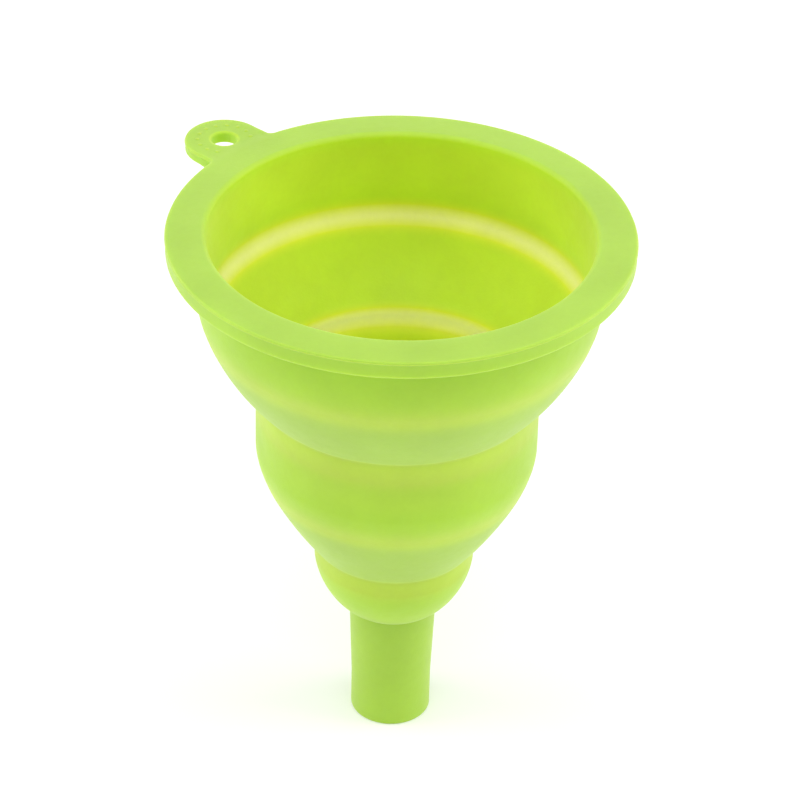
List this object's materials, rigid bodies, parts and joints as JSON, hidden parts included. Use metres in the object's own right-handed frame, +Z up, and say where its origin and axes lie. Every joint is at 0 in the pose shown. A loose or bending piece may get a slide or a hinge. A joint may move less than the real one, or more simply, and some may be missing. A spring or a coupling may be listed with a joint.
{
  "type": "collapsible kitchen funnel",
  "caption": "Collapsible silicone funnel for filling jars and bottles: stepped cup with fold-in shoulders, flat pouring rim, hanging tab and straight spout.",
  "frame": {"origin": "centre of the spout's open end, on the funnel's axis, at the lowest point", "axes": "+Z up along the axis, from the spout to the pouring rim; the hanging tab points half-way between -X and +Y"},
  "size_m": [0.08, 0.08, 0.1014],
  "materials": {
    "silicone_rim": "satin",
    "silicone_wall": "satin",
    "silicone_thin": "satin"
  },
  "bodies": {
    "upper": {"rim_flange": "silicone_rim", "hang_tab": "silicone_rim", "upper_wall": "silicone_wall", "upper_outer_hinge": "silicone_thin", "upper_shoulder": "silicone_wall"},
    "middle": {"upper_inner_hinge": "silicone_thin", "middle_wall": "silicone_wall", "lower_outer_hinge": "silicone_thin", "lower_shoulder": "silicone_wall"},
    "lower": {"lower_inner_hinge": "silicone_thin", "lower_bowl": "silicone_wall", "spout": "silicone_wall"}
  },
  "joints": [
    {"name": "upper_fold", "type": "slide", "parent": "upper", "child": "middle", "axis": [0, 0, 1], "range_m": [0, 0.0275], "deforming": ["upper_shoulder"]},
    {"name": "lower_fold", "type": "slide", "parent": "middle", "child": "lower", "axis": [0, 0, 1], "range_m": [0, 0.0285], "deforming": ["lower_shoulder"]}
  ]
}
